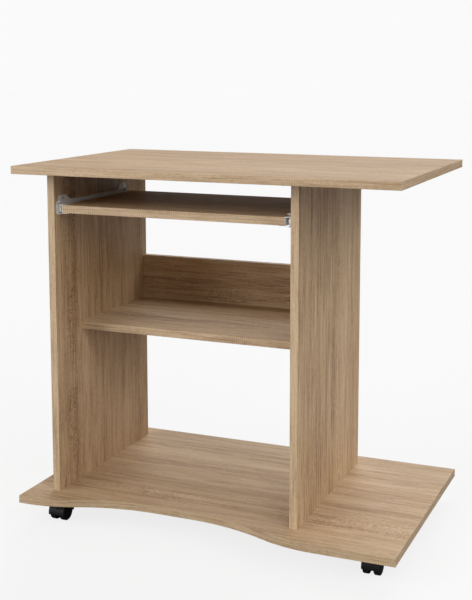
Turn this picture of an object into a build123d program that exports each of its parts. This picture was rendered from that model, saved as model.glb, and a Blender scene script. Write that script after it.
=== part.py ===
from build123d import *

import math
import os

# Computer desk on four twin-wheel casters, with a keyboard tray on roller slides.
# Millimetres. X runs to the right along the front, Y runs from front to back and Z is up.
# The origin is on the floor, below the middle of the desktop.

# ---- Driving dimensions: the whole desk ----
DESK_WIDTH = 800.0
DESK_DEPTH = 500.0
DESK_HEIGHT = 750.0
BOARD = 16.0
EDGE_BAND = 1.0
BAND_ROUND = 0.7
CASTER_HEIGHT = 50.0

# ---- Uprights, shelf and stiffener ----
LEFT_OVERHANG = 49.0
INNER_WIDTH = 510.0
SIDE_FRONT = -195.0
SIDE_DEPTH = 400.0
SHELF_DEPTH = 300.0
SHELF_TOP = 407.0
BACK_HEIGHT = 100.0

# ---- Curved recess in the front of the floor panel ----
RECESS_CENTRE = -75.0
RECESS_DEPTH = 56.0
RECESS_FLAT = 80.0
HOLLOW_RADIUS = 420.0
CREST_RADIUS = 275.0

# ---- Keyboard tray and its slides ----
SLIDE_GAP = 15.0
TRAY_DEPTH = 300.0
TRAY_FRONT = -189.0
TRAY_UNDERSIDE = 652.0
SLIDE_FRONT = -188.0
SLIDE_LENGTH = 300.0
SHEET = 1.2
CHANNEL_LOW = 649.0
CHANNEL_HEIGHT = 26.0
CHANNEL_LIP = 9.0
EAR_TOP = 686.0
ROLLER_INNER = 2.0
ROLLER_WIDTH = 6.5
FRONT_ROLLER_RADIUS = 8.1
FRONT_ROLLER_Y = -176.0
FRONT_ROLLER_Z = 659.0
REAR_ROLLER_RADIUS = 11.5
REAR_ROLLER_Y = 98.0
ROLLER_PIN_RADIUS = 2.5

# ---- Casters ----
CASTER_X = 340.0
CASTER_Y = 195.0
CASTER_TRAIL = 11.0
WHEEL_RADIUS = 19.0
WHEEL_INNER = 4.7
WHEEL_OUTER = 16.6
WHEEL_HUB_OUTER = 18.4
PLATE_SIZE = 38.0
PLATE_THICKNESS = 2.0
HOOD_HALF_WIDTH = 17.5
HOOD_OUTER_RADIUS = 21.8
HOOD_INNER_RADIUS = 20.2
HOOD_LOWER_EDGE = 15.0
WEB_HALF = 4.2
AXLE_RADIUS = 2.0
AXLE_HALF = 15.0

# ---- Fasteners ----
FIT = 0.05
DOWEL_RADIUS = 4.0
DOWEL_IN_FACE = 10.0
DOWEL_IN_END = 22.0
CAM_RADIUS = 7.4
CAM_DEPTH = 12.5
CAM_REACH = 24.0
CAM_THREAD_DEPTH = 11.0
CONFIRMAT_LENGTH = 48.0

# ---- Derived places ----
TOP_UNDERSIDE = DESK_HEIGHT - BOARD
FLOOR_TOP = CASTER_HEIGHT + BOARD
LEFT_OUTER = -DESK_WIDTH / 2 + LEFT_OVERHANG
LEFT_INNER = LEFT_OUTER + BOARD
RIGHT_INNER = LEFT_INNER + INNER_WIDTH
RIGHT_OUTER = RIGHT_INNER + BOARD
SIDE_BACK = SIDE_FRONT + SIDE_DEPTH
SHELF_UNDERSIDE = SHELF_TOP - BOARD
SHELF_FRONT = SIDE_BACK - SHELF_DEPTH
BACK_FRONT = SIDE_BACK - BOARD
BACK_TOP = SHELF_TOP + BACK_HEIGHT
TRAY_TOP = TRAY_UNDERSIDE + BOARD
TRAY_LEFT = LEFT_INNER + SLIDE_GAP
TRAY_RIGHT = RIGHT_INNER - SLIDE_GAP
TRAY_BACK = TRAY_FRONT + TRAY_DEPTH
SLIDE_BACK = SLIDE_FRONT + SLIDE_LENGTH
CHANNEL_HIGH = CHANNEL_LOW + CHANNEL_HEIGHT
REAR_ROLLER_Z = (CHANNEL_LOW + CHANNEL_HIGH) / 2
RUNNER_FLANGE_LOW = 667.2

# Rows of fasteners across the depth of the desk.
END_FASTENER_Y = (-145.0, 155.0)
END_DOWEL_Y = (-113.0, 123.0)
SHELF_CAM_Y = (-50.0, 160.0)
SHELF_DOWEL_Y = (-18.0, 128.0)
BACK_CAM_Z = SHELF_TOP + 34.0
BACK_DOWEL_Z = SHELF_TOP + 68.0
EAR_SCREW_Y = (-165.5, 92.0)
EAR_SCREW_Z = 680.5
TRAY_SCREW_Y = (-150.0, -30.0, 70.0)
TRAY_SCREW_IN = 21.0
PLATE_SCREW = 13.5

UP = (0, 0, 1)
DOWN = (0, 0, -1)
RIGHT = (1, 0, 0)
LEFT = (-1, 0, 0)
BACKWARD = (0, 1, 0)

# Each side of a board that can carry a band: which axis it faces, and which way.
SIDES = {
    "front": (Axis.Y, 1, -1),
    "back": (Axis.Y, 1, 1),
    "left": (Axis.X, 0, -1),
    "right": (Axis.X, 0, 1),
    "top": (Axis.Z, 2, 1),
}

# Each upright: the middle of its thickness, its inner face and the way that face looks.
UPRIGHTS = {
    "left": ((LEFT_OUTER + LEFT_INNER) / 2, LEFT_INNER, RIGHT),
    "right": ((RIGHT_INNER + RIGHT_OUTER) / 2, RIGHT_INNER, LEFT),
}


# ---- General shapes ----
def block(low, high):
    """A solid box between two opposite corners."""
    size = [b - a for a, b in zip(low, high)]
    centre = [(a + b) / 2 for a, b in zip(low, high)]
    return Pos(*centre) * Box(*size)


def rod(start, direction, radius, length):
    """A round bar that starts at a point and runs along a direction."""
    return extrude(Plane(origin=start, z_dir=direction) * Circle(radius), length)


def along(start, direction, distance):
    """The point at a distance from start along a direction."""
    return tuple(s + d * distance for s, d in zip(start, direction))


def turned(profile, centre):
    """A round solid about a line parallel to X; the profile's points are (distance along X, radius)."""
    face = make_face(Polyline(*[(along_x, radius) for along_x, radius in profile], close=True))
    return Pos(*centre) * revolve(face, Axis.X)


def prism(outline, low_x, thickness):
    """A plate of even thickness across X; the outline's points are (y, z)."""
    face = Plane.YZ * make_face(Polyline(*outline, close=True))
    return Pos(low_x, 0, 0) * extrude(face, thickness)


def without(solid, cutters):
    """The solid with every cutter taken out of it."""
    for cutter in cutters:
        solid = solid - cutter
    return solid


# ---- Boards and their edge bands ----
def rounded_band(strip, axis, way):
    """An edge band with its two long outer edges rounded."""
    outer = strip.faces().sort_by(axis)[-1 if way > 0 else 0]
    long_edges = [edge for edge in outer.edges() if edge.length > 2 * BOARD]
    return fillet(long_edges, BAND_ROUND)


def banded_board(low, high, banded):
    """A board's core and its edge bands, in the order in which the bands are glued on."""
    low, high = list(low), list(high)
    bands = []
    for side in banded:
        axis, index, way = SIDES[side]
        band_low, band_high = list(low), list(high)
        if way < 0:
            low[index] += EDGE_BAND
            band_high[index] = low[index]
        else:
            high[index] -= EDGE_BAND
            band_low[index] = high[index]
        bands.append(rounded_band(block(band_low, band_high), axis, way))
    return block(low, high), bands


def front_curve(inset, end_inset):
    """The floor panel's front edge from left to right, moved back by inset and in at both ends."""
    turn = math.degrees(math.acos(1 - RECESS_DEPTH / (HOLLOW_RADIUS + CREST_RADIUS)))
    bends_length = (HOLLOW_RADIUS + CREST_RADIUS) * math.sin(math.radians(turn))
    recess_start = RECESS_CENTRE - RECESS_FLAT / 2 - bends_length
    crest = (CREST_RADIUS - inset, turn)
    hollow = (HOLLOW_RADIUS + inset, -turn)
    front = -DESK_DEPTH / 2 + inset
    end = DESK_WIDTH / 2 - end_inset
    pieces = [Line((-end, front), (recess_start, front))]
    for radius, arc in (crest, hollow):
        pieces.append(JernArc(pieces[-1] @ 1, pieces[-1] % 1, radius, arc))
    pieces.append(Line(pieces[-1] @ 1, pieces[-1] @ 1 + Vector(RECESS_FLAT, 0)))
    for radius, arc in (hollow, crest):
        pieces.append(JernArc(pieces[-1] @ 1, pieces[-1] % 1, radius, arc))
    pieces.append(Line(pieces[-1] @ 1, (end, front)))
    return pieces


def floor_blank(inset, end_inset, back_inset):
    """The floor panel's full thickness behind its curved front edge."""
    curve = front_curve(inset, end_inset)
    end = DESK_WIDTH / 2 - end_inset
    back = DESK_DEPTH / 2 - back_inset
    front = -DESK_DEPTH / 2 + inset
    rest = Polyline((end, front), (end, back), (-end, back), (-end, front))
    face = make_face(curve + [rest])
    return Pos(0, 0, CASTER_HEIGHT) * extrude(face, BOARD)


def floor_panel():
    """The floor panel's core and its four edge bands."""
    whole = floor_blank(0, 0, 0)
    deepest = -DESK_DEPTH / 2 + RECESS_DEPTH
    front_edges = [
        edge
        for edge in whole.edges()
        if edge.center().Y < deepest + EDGE_BAND and abs((edge @ 0).Z - (edge @ 1).Z) < EDGE_BAND
    ]
    front_band = fillet(front_edges, BAND_ROUND) - floor_blank(EDGE_BAND, 0, 0)
    half_width = DESK_WIDTH / 2
    behind_front = (-half_width, -DESK_DEPTH / 2 + EDGE_BAND, CASTER_HEIGHT)
    far_corner = (half_width, DESK_DEPTH / 2, FLOOR_TOP)
    _, straight_bands = banded_board(behind_front, far_corner, ("back", "left", "right"))
    return floor_blank(EDGE_BAND, EDGE_BAND, EDGE_BAND), [front_band] + straight_bands


# ---- Joinery ----
def dowel(joint, direction):
    """A wooden dowel across a joint; the direction points into the board's end."""
    length = DOWEL_IN_FACE + DOWEL_IN_END
    pin = rod(along(joint, direction, -DOWEL_IN_FACE), direction, DOWEL_RADIUS, length)
    return chamfer(pin.edges().filter_by(GeomType.CIRCLE), 0.8)


def dowel_hole(joint, direction):
    """The drilling that a dowel sits in, a little longer at both ends."""
    spare = 0.5
    start = along(joint, direction, -DOWEL_IN_FACE - spare)
    return rod(start, direction, DOWEL_RADIUS + FIT, DOWEL_IN_FACE + DOWEL_IN_END + 2 * spare)


def cam_bolt(joint, direction):
    """A cam bolt: thread in the board's face, collar, neck and the head that the cam grips."""
    thread = rod(along(joint, direction, -CAM_THREAD_DEPTH), direction, 3.5, CAM_THREAD_DEPTH)
    neck = rod(joint, direction, 2.2, CAM_REACH)
    collar = rod(joint, direction, 3.4, 9)
    head = rod(along(joint, direction, CAM_REACH - 2), direction, 3.4, 4)
    return thread + neck + collar + head


def cam_nut(joint, direction, mouth_way):
    """A cam nut: a disc with a channel for the bolt and a cross recess in its face."""
    mouth = along(along(joint, direction, CAM_REACH), mouth_way, BOARD / 2)
    body = rod(mouth, tuple(-m for m in mouth_way), CAM_RADIUS, CAM_DEPTH)
    body = body - rod(joint, direction, 3.9, CAM_REACH + 4)
    face = Plane(origin=mouth, x_dir=direction, z_dir=mouth_way)
    recess_depth = 3.0
    for quarter in (45, 135):
        body = body - face * Rot(0, 0, quarter) * Box(9.5, 1.8, 2 * recess_depth)
    return body


def cam_holes(joint, direction, mouth_way):
    """The two drillings of a cam joint in the board that holds the cam."""
    centre = along(joint, direction, CAM_REACH)
    mouth = along(centre, mouth_way, BOARD / 2)
    inward = tuple(-m for m in mouth_way)
    return [rod(joint, direction, 4.0, CAM_REACH), rod(mouth, inward, CAM_RADIUS + 0.1, CAM_DEPTH + 0.5)]


def bolt_hole(joint, direction):
    """The drilling for a cam bolt's thread in the face of a board."""
    depth = CAM_THREAD_DEPTH + 0.5
    return rod(along(joint, direction, -depth), direction, 3.5 + FIT, depth)


def cam_cover(joint, direction, mouth_way):
    """A thin cap over a cam, with its rim rounded."""
    mouth = along(along(joint, direction, CAM_REACH), mouth_way, BOARD / 2)
    thickness = 1.2
    cap = rod(mouth, mouth_way, 8.6, thickness)
    rim = cap.edges().filter_by(GeomType.CIRCLE).sort_by(lambda edge: edge.center().X * mouth_way[0])[-1]
    return fillet(rim, 0.8)


def confirmat(place, clearance=0.0):
    """A one-piece connecting screw driven up from below, or its hole when given a clearance."""
    head_depth = 3.5
    shank = rod(place, UP, 3.5 + clearance, BOARD)
    core = rod(along(place, UP, BOARD), UP, 2.6 + clearance, CONFIRMAT_LENGTH - BOARD + clearance)
    cone = Cone(5.0 + clearance, 3.5 + clearance, head_depth)
    return shank + core + Pos(*along(place, UP, head_depth / 2)) * cone


def confirmat_screw(place):
    """A connecting screw with its hexagon recess."""
    recess = Pos(*place) * extrude(RegularPolygon(2.3, 6), 3.0)
    return confirmat(place) - recess


def screw(place, direction, radius, length, head_radius, head_height):
    """A pan-head screw; the place is under its head, and the direction is the way it is driven."""
    back = tuple(-d for d in direction)
    head = rod(place, back, head_radius, head_height)
    rim = [edge for edge in head.edges() if (edge.center() - Vector(*place)).length > head_height / 2]
    head = fillet(rim, head_height * 0.45)
    slot_face = Plane(origin=along(place, back, head_height), z_dir=direction)
    for quarter in (45, 135):
        head = head - slot_face * Rot(0, 0, quarter) * Box(head_radius * 1.1, 0.9, head_height)
    shank = rod(place, direction, radius, length)
    return head + shank


# ---- Roller slides: drawn for the left side, x = 0 on the upright's inner face ----
def fixed_rail():
    """The channel screwed to the upright, with its two screw ears and its rear stop."""
    channel_low = (0, SLIDE_FRONT, CHANNEL_LOW)
    outline = [
        (CHANNEL_LIP, CHANNEL_LOW),
        (0, CHANNEL_LOW),
        (0, CHANNEL_HIGH),
        (CHANNEL_LIP, CHANNEL_HIGH),
        (CHANNEL_LIP, CHANNEL_HIGH - SHEET),
        (SHEET, CHANNEL_HIGH - SHEET),
        (SHEET, CHANNEL_LOW + SHEET),
        (CHANNEL_LIP, CHANNEL_LOW + SHEET),
    ]
    section = make_face(Polyline(*outline, close=True))
    section = fillet([v for v in section.vertices() if v.X < SHEET / 2], 1.6)
    section = fillet([v for v in section.vertices() if abs(v.X - SHEET) < 0.01], 0.5)
    channel = Pos(0, SLIDE_BACK, 0) * extrude(Plane.XZ * section, SLIDE_LENGTH)
    ears = []
    for base_front, top_front, top_back, base_back in ((-185, -178, -153, -129), (66, 82, 104, 111)):
        notch = block(
            (SHEET, base_front, CHANNEL_HIGH - 2 * SHEET), (CHANNEL_LIP + 1, base_back, CHANNEL_HIGH + 1)
        )
        channel = channel - notch
        low = CHANNEL_HIGH - 3 * SHEET
        ear = [(base_front, low), (base_back, low), (top_back, EAR_TOP), (top_front, EAR_TOP)]
        ears.append(prism(ear, 0, SHEET))
    for ear in ears:
        channel = channel + ear
    stop_height = 12.0
    stop_low = (SHEET / 2, SLIDE_BACK - SHEET, REAR_ROLLER_Z - stop_height / 2)
    stop_high = (CHANNEL_LIP - 1, SLIDE_BACK, REAR_ROLLER_Z + stop_height / 2)
    channel = channel + block(stop_low, stop_high)
    holes = [rod((-1, y, EAR_SCREW_Z), RIGHT, 2.1, SHEET + 2) for y in EAR_SCREW_Y]
    holes.append(rod((-1, FRONT_ROLLER_Y, FRONT_ROLLER_Z), RIGHT, 2.0 + FIT, SHEET + 2))
    return without(channel, holes)


def moving_rail():
    """The runner under the tray: bottom flange, web beside the board and top flange over the roller."""
    flange_reach = 12.0
    web_outer = SLIDE_GAP - SHEET
    flange_outer = 3.0
    top = RUNNER_FLANGE_LOW + SHEET
    under = TRAY_UNDERSIDE - SHEET
    outline = [
        (SLIDE_GAP + flange_reach, under),
        (web_outer, under),
        (web_outer, RUNNER_FLANGE_LOW),
        (flange_outer, RUNNER_FLANGE_LOW),
        (flange_outer, top),
        (SLIDE_GAP, top),
        (SLIDE_GAP, TRAY_UNDERSIDE),
        (SLIDE_GAP + flange_reach, TRAY_UNDERSIDE),
    ]
    section = make_face(Polyline(*outline, close=True))
    outer_bends = [
        v
        for v in section.vertices()
        if (abs(v.X - web_outer) < 0.01 and v.Y < TRAY_UNDERSIDE) or (v.X == SLIDE_GAP and v.Y > top - 0.01)
    ]
    section = fillet(outer_bends, 1.0)
    rail = Pos(0, SLIDE_BACK, 0) * extrude(Plane.XZ * section, SLIDE_LENGTH)
    clearance = 4.0
    cut_front = REAR_ROLLER_Y - REAR_ROLLER_RADIUS - clearance
    rail = rail - block((0, cut_front, RUNNER_FLANGE_LOW - 1), (web_outer, SLIDE_BACK + 1, top + 1))
    holes = [rod((SLIDE_GAP - 3, REAR_ROLLER_Y, REAR_ROLLER_Z), RIGHT, 2.0 + FIT, 5)]
    for y in TRAY_SCREW_Y:
        holes.append(rod((TRAY_SCREW_IN, y, under - 1), UP, 1.9, SHEET + 2))
    return without(rail, holes)


def front_roller():
    """The nylon roller at the front of the fixed rail, with a crowned rim."""
    inner, outer = ROLLER_INNER, ROLLER_INNER + ROLLER_WIDTH
    bore = ROLLER_PIN_RADIUS + FIT
    rim = FRONT_ROLLER_RADIUS
    profile = [(inner, bore), (inner, rim - 0.8), (inner + 0.8, rim), (outer - 0.8, rim)]
    profile += [(outer, rim - 0.8), (outer, bore)]
    return turned(profile, (0, FRONT_ROLLER_Y, FRONT_ROLLER_Z))


def front_roller_pin():
    """The rivet that the front roller turns on."""
    collar_end = ROLLER_INNER - 0.1
    head_start = ROLLER_INNER + ROLLER_WIDTH + 0.1
    profile = [(0, 0), (0, 2.0), (SHEET, 2.0), (SHEET, 3.6), (collar_end, 3.6)]
    profile += [(collar_end, ROLLER_PIN_RADIUS), (head_start, ROLLER_PIN_RADIUS)]
    profile += [(head_start, 4.2), (head_start + 0.6, 4.2), (head_start + 1.1, 3.4), (head_start + 1.1, 0)]
    return turned(profile, (0, FRONT_ROLLER_Y, FRONT_ROLLER_Z))


def rear_roller():
    """The nylon roller at the back of the moving rail; it runs inside the fixed channel."""
    inner, outer = ROLLER_INNER, ROLLER_INNER + ROLLER_WIDTH
    bore = ROLLER_PIN_RADIUS + FIT
    rim = REAR_ROLLER_RADIUS
    head_room = 1.3
    profile = [(inner, 4.2), (inner, rim - 0.8), (inner + 0.8, rim), (outer - 0.8, rim), (outer, rim - 0.8)]
    profile += [(outer, bore), (inner + head_room, bore), (inner + head_room, 4.2)]
    return turned(profile, (0, REAR_ROLLER_Y, REAR_ROLLER_Z))


def rear_roller_pin():
    """The rivet that carries the rear roller from the moving rail's web."""
    head = ROLLER_INNER + 0.2
    head_end = head + 1.0
    spacer = ROLLER_INNER + ROLLER_WIDTH + 0.1
    web_outer = SLIDE_GAP - SHEET
    profile = [(head, 0), (head, 3.8), (head_end, 3.8), (head_end, ROLLER_PIN_RADIUS)]
    profile += [(spacer, ROLLER_PIN_RADIUS), (spacer, 4.0), (web_outer, 4.0), (web_outer, 2.0)]
    profile += [(SLIDE_GAP, 2.0), (SLIDE_GAP, 0)]
    return turned(profile, (0, REAR_ROLLER_Y, REAR_ROLLER_Z))


def rail_screws():
    """The two screws through the ears of a fixed rail."""
    return [screw((SHEET, y, EAR_SCREW_Z), LEFT, 1.7, 13, 3.6, 2.0) for y in EAR_SCREW_Y]


def tray_screws():
    """The three screws up through the flange of a moving rail."""
    under = TRAY_UNDERSIDE - SHEET
    return [screw((TRAY_SCREW_IN, y, under), UP, 1.7, 13, 3.4, 1.6) for y in TRAY_SCREW_Y]


def placed_left(piece):
    """A slide piece on the left upright."""
    return Pos(LEFT_INNER, 0, 0) * piece


def placed_right(piece):
    """The same slide piece mirrored onto the right upright."""
    return Pos(RIGHT_INNER, 0, 0) * mirror(piece, about=Plane.YZ)


def rail_screw_holes(place):
    """Pilot holes for the rail screws in an upright."""
    return [place(rod((0, y, EAR_SCREW_Z), LEFT, 1.7 + FIT, 13)) for y in EAR_SCREW_Y]


def tray_screw_holes(place):
    """Pilot holes for the tray screws in the tray."""
    depth = 13 - SHEET + 0.5
    return [place(rod((TRAY_SCREW_IN, y, TRAY_UNDERSIDE), UP, 1.7 + FIT, depth)) for y in TRAY_SCREW_Y]


# ---- Casters: drawn with the swivel axis on x = 0, y = 0 and the wheels behind it ----
def caster_plate():
    """The screw plate: four screw holes at the corners and the kingpin's hole in the middle."""
    low = CASTER_HEIGHT - PLATE_THICKNESS
    plate = Pos(0, 0, low) * extrude(RectangleRounded(PLATE_SIZE, PLATE_SIZE, 5), PLATE_THICKNESS)
    holes = [rod((x, y, low - 1), UP, 2.1, PLATE_THICKNESS + 2) for x, y in plate_screw_places()]
    holes.append(rod((0, 0, low - 1), UP, 4.0 + FIT, PLATE_THICKNESS + 2))
    return without(plate, holes)


def plate_screw_places():
    """The four screw places of a caster plate, about the swivel axis."""
    return [(x, y) for x in (-PLATE_SCREW, PLATE_SCREW) for y in (-PLATE_SCREW, PLATE_SCREW)]


def kingpin():
    """The steel pin riveted in the plate, stepped down where it enters the web."""
    upper = rod((0, 0, CASTER_HEIGHT), DOWN, 4.0, 11)
    lower = rod((0, 0, CASTER_HEIGHT - 11), DOWN, 2.5, 13)
    return upper + lower


def caster_housing():
    """The moulded hood, the web between the wheels and the boss round the kingpin."""
    width = 2 * HOOD_HALF_WIDTH
    axle = (0, CASTER_TRAIL, WHEEL_RADIUS)
    across = Rot(0, 90, 0)
    hood = Pos(*axle) * across * Cylinder(HOOD_OUTER_RADIUS, width)
    top = CASTER_HEIGHT - PLATE_THICKNESS - 0.5
    boss_low = 24.0
    boss = rod((0, 0, boss_low), UP, 9.5, top - boss_low)
    hood = fillet((hood + boss).edges().filter_by(lambda edge: edge.center().Z > top - 0.1), 0.8)
    wheel_space = width / 2 - WEB_HALF + 1
    for side in (-1, 1):
        well = Pos(side * (WEB_HALF + wheel_space / 2), CASTER_TRAIL, WHEEL_RADIUS) * across
        hood = hood - well * Cylinder(HOOD_INNER_RADIUS, wheel_space)
    reach = 2 * HOOD_OUTER_RADIUS
    hood = hood - block((-reach, -reach, -reach), (reach, CASTER_TRAIL + reach, HOOD_LOWER_EDGE))
    axle_lobe = Pos(*axle) * across * Cylinder(8, 2 * WEB_HALF)
    bores = [
        rod((-reach, CASTER_TRAIL, WHEEL_RADIUS), RIGHT, AXLE_RADIUS + 0.02, 2 * reach),
        rod((0, 0, top + 1), DOWN, 4.0 + FIT, top + 1 - (CASTER_HEIGHT - 11)),
        rod((0, 0, CASTER_HEIGHT - 10), DOWN, 2.5 + FIT, 14.5),
    ]
    return without(hood + axle_lobe, bores)


def caster_axle():
    """The steel axle through the housing's web, chamfered at both ends."""
    pin = rod((-AXLE_HALF, CASTER_TRAIL, WHEEL_RADIUS), RIGHT, AXLE_RADIUS, 2 * AXLE_HALF)
    return chamfer(pin.edges().filter_by(GeomType.CIRCLE), 0.4)


def caster_wheel():
    """The wheel on the +X side: a rim, a domed face with a ring groove and a blind hub."""
    bore = AXLE_RADIUS + FIT
    bore_end = AXLE_HALF + 0.3
    rim_inside = WHEEL_RADIUS - 2.8
    disc_inner = 12.5
    hub = 4.4
    profile = [
        (WHEEL_INNER, bore),
        (WHEEL_INNER, hub),
        (disc_inner, hub),
        (disc_inner, rim_inside),
        (WHEEL_INNER, rim_inside),
        (WHEEL_INNER, WHEEL_RADIUS - 1.5),
        (WHEEL_INNER + 0.5, WHEEL_RADIUS - 0.5),
        (WHEEL_INNER + 1.5, WHEEL_RADIUS),
        (WHEEL_OUTER - 2.4, WHEEL_RADIUS),
        (WHEEL_OUTER - 0.8, WHEEL_RADIUS - 0.7),
        (WHEEL_OUTER, WHEEL_RADIUS - 2.3),
        (WHEEL_OUTER + 0.2, WHEEL_RADIUS - 4.2),
        (WHEEL_OUTER - 0.6, WHEEL_RADIUS - 4.6),
        (WHEEL_OUTER - 0.5, WHEEL_RADIUS - 5.4),
        (WHEEL_OUTER + 0.5, WHEEL_RADIUS - 5.8),
        (WHEEL_HUB_OUTER - 0.4, 6.5),
        (WHEEL_HUB_OUTER, 3.0),
        (WHEEL_HUB_OUTER, 0.0),
        (bore_end, 0.0),
        (bore_end, bore),
    ]
    return turned(profile, (0, CASTER_TRAIL, WHEEL_RADIUS))


def caster_screws():
    """The four screws up through a caster plate."""
    low = CASTER_HEIGHT - PLATE_THICKNESS
    return [screw((x, y, low), UP, 1.9, 14, 3.7, 1.9) for x, y in plate_screw_places()]


def caster_screw_holes(place):
    """Pilot holes for one caster's screws in the floor panel."""
    depth = 14 - PLATE_THICKNESS + 0.5
    return [place * rod((x, y, CASTER_HEIGHT), UP, 1.9 + FIT, depth) for x, y in plate_screw_places()]


CASTERS = {
    "front_left": Pos(-CASTER_X, -CASTER_Y, 0),
    "front_right": Pos(CASTER_X, -CASTER_Y, 0),
    "rear_left": Pos(-CASTER_X, CASTER_Y, 0),
    "rear_right": Pos(CASTER_X, CASTER_Y, 0),
}


# ---- The joints between boards ----
def end_joints():
    """Where each upright meets the desktop: (joint, direction into the upright, cam mouth)."""
    return [
        (upright, (middle, y, TOP_UNDERSIDE), DOWN, inward)
        for upright, (middle, _, inward) in UPRIGHTS.items()
        for y in END_FASTENER_Y
    ]


def shelf_joints():
    """Where the shelf meets each upright: (joint, direction into the shelf, cam mouth)."""
    middle_z = SHELF_TOP - BOARD / 2
    return [
        (upright, (face, y, middle_z), inward, DOWN)
        for upright, (_, face, inward) in UPRIGHTS.items()
        for y in SHELF_CAM_Y
    ]


def back_joints():
    """Where the stiffener meets each upright: (joint, direction into the stiffener, cam mouth)."""
    middle_y = SIDE_BACK - BOARD / 2
    return [
        (upright, (face, middle_y, BACK_CAM_Z), inward, BACKWARD)
        for upright, (_, face, inward) in UPRIGHTS.items()
    ]


def dowel_joints():
    """Every dowel: the upright it belongs to, the board it joins, the joint and its direction."""
    joints = []
    for upright, (middle, face, inward) in UPRIGHTS.items():
        for y in END_DOWEL_Y:
            joints.append((upright, "top", (middle, y, TOP_UNDERSIDE), DOWN))
            joints.append((upright, "floor", (middle, y, FLOOR_TOP), UP))
        for y in SHELF_DOWEL_Y:
            joints.append((upright, "shelf", (face, y, SHELF_TOP - BOARD / 2), inward))
        joints.append((upright, "back", (face, SIDE_BACK - BOARD / 2, BACK_DOWEL_Z), inward))
    return joints


def confirmat_places():
    """Every connecting screw: the upright it holds and the place of its head."""
    return [
        (upright, (middle, y, CASTER_HEIGHT))
        for upright, (middle, _, _) in UPRIGHTS.items()
        for y in END_FASTENER_Y
    ]


def dowel_holes(board):
    """The dowel drillings of one board or upright."""
    return [
        dowel_hole(joint, direction)
        for upright, other, joint, direction in dowel_joints()
        if board in (upright, other)
    ]


def desktop():
    """The desktop's core, drilled from below, and its bands."""
    low = (-DESK_WIDTH / 2, -DESK_DEPTH / 2, TOP_UNDERSIDE)
    high = (DESK_WIDTH / 2, DESK_DEPTH / 2, DESK_HEIGHT)
    core, bands = banded_board(low, high, ("front", "back", "left", "right"))
    holes = [bolt_hole(joint, direction) for _, joint, direction, _ in end_joints()]
    return without(core, holes + dowel_holes("top")), bands


def drilled_floor():
    """The floor panel's core with its drillings, and its bands."""
    core, bands = floor_panel()
    holes = dowel_holes("floor")
    holes += [confirmat(place, FIT) for _, place in confirmat_places()]
    for place in CASTERS.values():
        holes += caster_screw_holes(place)
    return without(core, holes), bands


def upright(name, low_x, high_x, place):
    """One upright's core with its drillings, and its front and back bands."""
    low = (low_x, SIDE_FRONT, FLOOR_TOP)
    high = (high_x, SIDE_BACK, TOP_UNDERSIDE)
    core, bands = banded_board(low, high, ("front", "back"))
    holes = dowel_holes(name) + rail_screw_holes(place)
    for side, joint, direction, mouth_way in end_joints():
        if side == name:
            holes += cam_holes(joint, direction, mouth_way)
    for side, joint, direction, _ in shelf_joints() + back_joints():
        if side == name:
            holes.append(bolt_hole(joint, direction))
    holes += [confirmat(head, FIT) for side, head in confirmat_places() if side == name]
    return without(core, holes), bands


def shelf():
    """The shelf's core with its drillings, and its front and back bands."""
    low = (LEFT_INNER, SHELF_FRONT, SHELF_UNDERSIDE)
    high = (RIGHT_INNER, SIDE_BACK, SHELF_TOP)
    core, bands = banded_board(low, high, ("front", "back"))
    holes = dowel_holes("shelf")
    for _, joint, direction, mouth_way in shelf_joints():
        holes += cam_holes(joint, direction, mouth_way)
    return without(core, holes), bands


def stiffener():
    """The stiffener that stands on the back of the shelf, and its top band."""
    low = (LEFT_INNER, BACK_FRONT, SHELF_TOP)
    high = (RIGHT_INNER, SIDE_BACK, BACK_TOP)
    core, bands = banded_board(low, high, ("top",))
    holes = dowel_holes("back")
    for _, joint, direction, mouth_way in back_joints():
        holes += cam_holes(joint, direction, mouth_way)
    return without(core, holes), bands


def keyboard_tray():
    """The keyboard tray's core with its pilot holes, and its four bands."""
    low = (TRAY_LEFT, TRAY_FRONT, TRAY_UNDERSIDE)
    high = (TRAY_RIGHT, TRAY_BACK, TRAY_TOP)
    core, bands = banded_board(low, high, ("front", "back", "left", "right"))
    return without(core, tray_screw_holes(placed_left) + tray_screw_holes(placed_right)), bands


# ---- Output ----
def save(node, solids):
    """Write one node's solids to its STEP file."""
    if not isinstance(solids, list):
        solids = [solids]
    single = [solid for item in solids for solid in item.solids()]
    shape = single[0] if len(single) == 1 else Compound(children=single)
    export_step(shape, f"parts/{node}.step")


def save_boards():
    """Write every board and its bands."""
    boards = {
        "top_panel": desktop(),
        "floor_panel": drilled_floor(),
        "left_upright": upright("left", LEFT_OUTER, LEFT_INNER, placed_left),
        "right_upright": upright("right", RIGHT_INNER, RIGHT_OUTER, placed_right),
        "shelf": shelf(),
        "back_stiffener": stiffener(),
        "keyboard_tray": keyboard_tray(),
    }
    for node, (core, bands) in boards.items():
        save(node, core)
        save(f"{node}_edging", bands)


def save_joinery():
    """Write the dowels, cams, covers and connecting screws."""
    cam_joints = end_joints() + shelf_joints() + back_joints()
    save("dowels", [dowel(joint, direction) for _, _, joint, direction in dowel_joints()])
    save("cam_bolts", [cam_bolt(joint, direction) for _, joint, direction, _ in cam_joints])
    save("cam_nuts", [cam_nut(joint, direction, way) for _, joint, direction, way in cam_joints])
    save("cam_covers", [cam_cover(joint, direction, way) for _, joint, direction, way in end_joints()])
    save("connecting_screws", [confirmat_screw(place) for _, place in confirmat_places()])


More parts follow.
